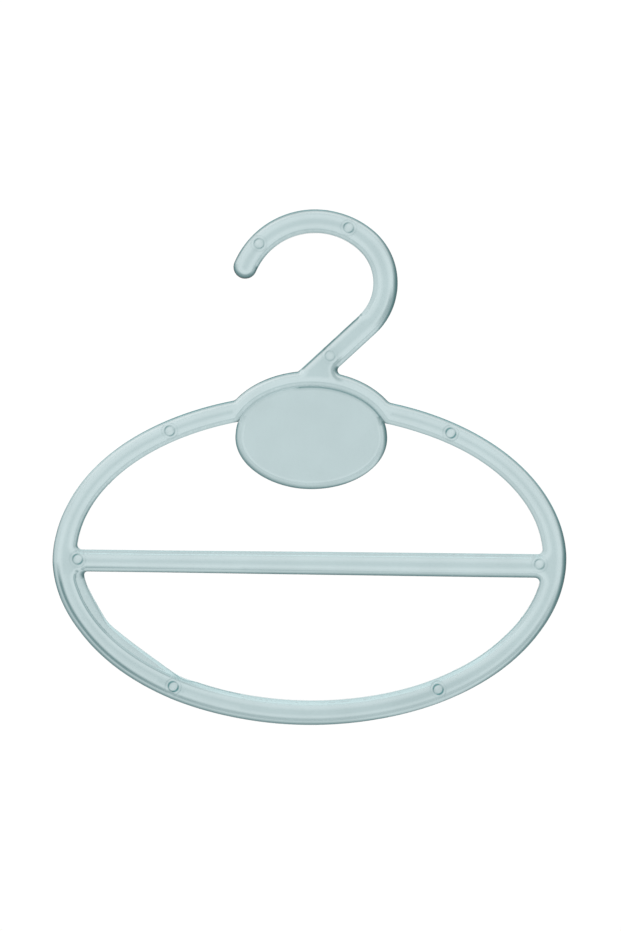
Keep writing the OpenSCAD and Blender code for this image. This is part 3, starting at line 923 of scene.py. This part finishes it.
def plastic(name, stops):
    """Translucent plastic. stops: (distance from the edge in mm, tint), with a painted highlight along the borders of
    the flat faces.
    """
    m = bpy.data.materials.new(name)
    m.use_nodes = True
    nt = m.node_tree
    N, L = nt.nodes, nt.links
    N.clear()
    out = N.new("ShaderNodeOutputMaterial")
    bs = N.new("ShaderNodeBsdfPrincipled")
    bs.inputs["Roughness"].default_value = 0.04
    bs.inputs["IOR"].default_value = 1.49
    bs.inputs["Transmission Weight"].default_value = 1.0
    at = N.new("ShaderNodeAttribute")
    at.attribute_name = "edge_mm"
    div = N.new("ShaderNodeMath"); div.operation = "DIVIDE"; div.inputs[1].default_value = 8.0
    ramp = N.new("ShaderNodeValToRGB")
    el = ramp.color_ramp.elements
    el[0].position, el[0].color = stops[0][0] / 8.0, stops[0][1]
    el[1].position, el[1].color = stops[-1][0] / 8.0, stops[-1][1]
    for d, c in stops[1:-1]:
        e = el.new(d / 8.0)
        e.color = c
    L.new(at.outputs["Fac"], div.inputs[0])
    L.new(div.outputs[0], ramp.inputs[0])
    # slow cloudiness of the melt
    tc = N.new("ShaderNodeTexCoord")
    cloud = N.new("ShaderNodeTexNoise")
    cloud.inputs["Scale"].default_value = 55.0
    cloud.inputs["Detail"].default_value = 3.0
    cloud.inputs["Roughness"].default_value = 0.55
    L.new(tc.outputs["Object"], cloud.inputs["Vector"])
    mr = N.new("ShaderNodeMapRange")
    mr.inputs["From Min"].default_value = 0.3
    mr.inputs["From Max"].default_value = 0.7
    mr.inputs["To Min"].default_value = 0.965
    mr.inputs["To Max"].default_value = 1.03
    L.new(cloud.outputs["Fac"], mr.inputs["Value"])
    mul = N.new("ShaderNodeMix"); mul.data_type = "RGBA"; mul.blend_type = "MULTIPLY"
    mul.inputs["Factor"].default_value = 1.0
    L.new(ramp.outputs["Color"], mul.inputs[6])
    L.new(mr.outputs["Result"], mul.inputs[7])
    # the edges' tint deepens, as the light takes a longer way through the plastic there; painted shade makes it darker
    # still on edges that face right and down
    tint = N.new("ShaderNodeAttribute")
    tint.attribute_name = "edge_tint_and_painted_shade"
    edge = N.new("ShaderNodeMix"); edge.data_type = "RGBA"
    edge.inputs[7].default_value = EDGE_TINT_AND_PAINTED_SHADE
    # only where the surface faces the front or the back: the upright rim keeps the plain colour
    nrm = N.new("ShaderNodeSeparateXYZ")
    L.new(tc.outputs["Normal"], nrm.inputs[0])
    flat = N.new("ShaderNodeMath"); flat.operation = "ABSOLUTE"
    L.new(nrm.outputs["Y"], flat.inputs[0])
    gain = N.new("ShaderNodeMath"); gain.operation = "MULTIPLY"; gain.use_clamp = True; gain.inputs[1].default_value = 4.0
    L.new(flat.outputs[0], gain.inputs[0])
    both = N.new("ShaderNodeMath"); both.operation = "MULTIPLY"
    L.new(gain.outputs[0], both.inputs[0])
    L.new(tint.outputs["Fac"], both.inputs[1])
    L.new(both.outputs[0], edge.inputs["Factor"])
    # painted highlight on the upper flanks and in the middle of the marks
    light = N.new("ShaderNodeAttribute")
    light.attribute_name = "edge_painted_highlight"
    painted_highlight_mix = N.new("ShaderNodeMix"); painted_highlight_mix.data_type = "RGBA"
    painted_highlight_mix.inputs[7].default_value = PAINTED_HIGHLIGHT
    L.new(light.outputs["Fac"], painted_highlight_mix.inputs["Factor"])
    L.new(mul.outputs[2], painted_highlight_mix.inputs[6])
    L.new(painted_highlight_mix.outputs[2], edge.inputs[6])
    L.new(edge.outputs[2], bs.inputs["Base Color"])
    # moulded skin: a faint waviness
    wav = N.new("ShaderNodeTexNoise")
    wav.inputs["Scale"].default_value = 240.0
    wav.inputs["Detail"].default_value = 2.0
    L.new(tc.outputs["Object"], wav.inputs["Vector"])
    bump = N.new("ShaderNodeBump")
    bump.inputs["Strength"].default_value = 0.04
    bump.inputs["Distance"].default_value = 0.0002
    L.new(wav.outputs["Fac"], bump.inputs["Height"])
    L.new(bump.outputs["Normal"], bs.inputs["Normal"])
    L.new(bs.outputs["BSDF"], out.inputs["Surface"])
    return m


FACE = lin(184, 204, 206)
PAINTED_BORDER_HIGHLIGHT = lin(199, 217, 219)
FLANK = lin(189, 208, 210)
PLATE_FACE = lin(188, 207, 209)
EDGE_TINT_AND_PAINTED_SHADE = lin(40, 96, 99)
PAINTED_HIGHLIGHT = lin(218, 231, 232)
PLASTIC = plastic("frame_plastic", [(0.0, FLANK), (1.6, FLANK), (2.0, PAINTED_BORDER_HIGHLIGHT), (2.9, PAINTED_BORDER_HIGHLIGHT), (4.2, FACE), (7.9, FACE)])
PLATE_MAT = plastic("plate_plastic", [(0.0, FLANK), (2.3, FLANK), (2.7, PAINTED_BORDER_HIGHLIGHT), (3.4, PLATE_FACE), (7.9, PLATE_FACE)])

JOINT = bpy.data.materials.new("inside_joint")
JOINT.use_nodes = True
JOINT.node_tree.nodes.clear()
_o = JOINT.node_tree.nodes.new("ShaderNodeOutputMaterial")
_t = JOINT.node_tree.nodes.new("ShaderNodeBsdfTransparent")
JOINT.node_tree.links.new(_t.outputs[0], _o.inputs["Surface"])

# ------------------------------------------------------------------ pieces
for node in sorted(set(names)):
    build(node + "_moulding", node, fv, ff[names == node], frame_region, [outer, window_up, window_low], True)
build("label_plate_moulding", "label_plate", pv, pf, plate_region, [plate_loop], False)

# The seat's walls, where frame and plate run into each other, are joint faces
seat_keys = {(round(x, 3), round(z, 3)) for x, z in seat_pts}
for ob in bpy.data.objects:
    if not ob.name.endswith("_moulding"):
        continue
    me = ob.data
    for poly in me.polygons:
        if len(poly.vertices) != 4:
            continue
        ks = {(round(me.vertices[i].co.x * 1000, 3), round(me.vertices[i].co.z * 1000, 3)) for i in poly.vertices}
        if len(ks) == 2 and ks <= seat_keys:
            poly.material_index = 1

# ------------------------------------------------------------------ studio
scene = bpy.context.scene
scene.view_settings.view_transform = "Standard"
scene.cycles.transmission_bounces = 16
scene.cycles.transparent_max_bounces = 16
scene.cycles.max_bounces = 20
scene.cycles.caustics_refractive = True
scene.cycles.caustics_reflective = True
scene.cycles.use_denoising = True

world = bpy.data.worlds.new("studio")
scene.world = world
world.use_nodes = True
nt = world.node_tree
N, L = nt.nodes, nt.links
N.clear()
wo = N.new("ShaderNodeOutputWorld")
bg = N.new("ShaderNodeBackground")
white = N.new("ShaderNodeBackground")
white.inputs[0].default_value = (1, 1, 1, 1)
white.inputs[1].default_value = 1.02
lp = N.new("ShaderNodeLightPath")
mix = N.new("ShaderNodeMixShader")
tc = N.new("ShaderNodeTexCoord")
sep = N.new("ShaderNodeSeparateXYZ")
L.new(tc.outputs["Generated"], sep.inputs[0])


def ramp(stops):
    r = N.new("ShaderNodeValToRGB")
    e = r.color_ramp.elements
    tone = lambda v: (v - 0.16 * v * (1 - v), v + 0.1 * v * (1 - v), v + 0.12 * v * (1 - v), 1)
    e[0].position, e[0].color = stops[0][0], tone(stops[0][1])
    e[1].position, e[1].color = stops[-1][0], tone(stops[-1][1])
    for p, v in stops[1:-1]:
        x = e.new(p)
        x.color = tone(v)
    return r


def math_node(op, a, b=None):
    m = N.new("ShaderNodeMath")
    m.operation = op
    for i, v in enumerate((a, b)):
        if v is None:
            continue
        if isinstance(v, (int, float)):
            m.inputs[i].default_value = v
        else:
            L.new(v, m.inputs[i])
    return m.outputs[0]


# position on the ramps: 0 behind the camera, 0.5 sideways, 1 straight behind the object
pos = math_node("ADD", math_node("MULTIPLY", sep.outputs["Y"], 0.5), 0.5)
bright = ramp([(0.0, 0.95), (0.05, 0.93), (0.14, 0.5), (0.25, 0.42), (0.4, 0.4), (0.5, 0.45), (0.65, 0.55), (0.8, 0.8), (0.92, 0.99), (1.0, 1.0)])
dark = ramp([(0.0, 0.95), (0.05, 0.93), (0.14, 0.5), (0.25, 0.4), (0.4, 0.32), (0.5, 0.3), (0.7, 0.3), (0.8, 0.38), (0.9, 0.58), (0.95, 0.78), (0.975, 0.93), (0.99, 0.99), (1.0, 1.0)])
L.new(pos, bright.inputs[0])
L.new(pos, dark.inputs[0])
# weight of the dark side: all round, save to the right and below
dx = math_node("MULTIPLY", sep.outputs["X"], 0.707)
dz = math_node("MULTIPLY", sep.outputs["Z"], -0.707)
dot = math_node("ADD", dx, dz)
ln = math_node("SQRT", math_node("ADD", math_node("MULTIPLY", sep.outputs["X"], sep.outputs["X"]),
                                 math_node("MULTIPLY", sep.outputs["Z"], sep.outputs["Z"])))
lobe = math_node("ADD", math_node("MULTIPLY", math_node("DIVIDE", dot, math_node("MAXIMUM", ln, 0.01)), 0.5), 0.5)
wgt = math_node("SUBTRACT", 1.0, math_node("POWER", math_node("MAXIMUM", lobe, 0.0), 1.5))
mx = N.new("ShaderNodeMix"); mx.data_type = "RGBA"
L.new(wgt, mx.inputs["Factor"])
L.new(bright.outputs[0], mx.inputs[6])
L.new(dark.outputs[0], mx.inputs[7])
L.new(mx.outputs[2], bg.inputs[0])
bg.inputs[1].default_value = 1.0
L.new(lp.outputs["Is Camera Ray"], mix.inputs[0])
L.new(bg.outputs[0], mix.inputs[1])
L.new(white.outputs[0], mix.inputs[2])
L.new(mix.outputs[0], wo.inputs["Surface"])

# pale floor, well below the hanging object
fm = bpy.data.materials.new("floor_white")
fm.use_nodes = True
b = fm.node_tree.nodes["Principled BSDF"]
b.inputs["Base Color"].default_value = (0.9, 0.9, 0.9, 1)
b.inputs["Roughness"].default_value = 0.9
b.inputs["Emission Color"].default_value = (1, 1, 1, 1)
b.inputs["Emission Strength"].default_value = 0.75
bpy.ops.mesh.primitive_circle_add(vertices=96, radius=0.9, fill_type="NGON", location=(0, 0, -0.42))
floor = bpy.context.active_object
floor.name = "studio_floor"
floor.data.materials.append(fm)

# soft box in front, above and to the left
ld = bpy.data.lights.new("softbox", "AREA")
ld.shape = "RECTANGLE"
ld.size, ld.size_y = 0.7, 0.5
ld.energy = 1.2
lo_ = bpy.data.objects.new("softbox", ld)
lo_.location = (-0.55, -0.95, 0.55)
lo_.rotation_euler = (math.radians(58), 0, math.radians(-30))
scene.collection.objects.link(lo_)

# camera, square to the front, turned a hair about its own axis
cam = bpy.data.cameras.new("camera")
cam.sensor_fit = "VERTICAL"
cam.sensor_height = 36.0
DIST = 1.2
cam.lens = 36.0 * DIST / (931 * 0.38911 * MM)
co = bpy.data.objects.new("camera", cam)
co.location = (-0.001295, -DIST, -0.06548)
co.rotation_mode = "XYZ"
roll = math.radians(0.4)
co.rotation_euler = (math.radians(90), 0, 0)
co.matrix_world = co.matrix_basis
from mathutils import Matrix
co.matrix_world = Matrix.Translation(co.location) @ Matrix.Rotation(math.radians(90), 4, "X") @ Matrix.Rotation(roll, 4, "Z")
cam.clip_start = 0.01
cam.clip_end = 20
scene.collection.objects.link(co)
scene.camera = co
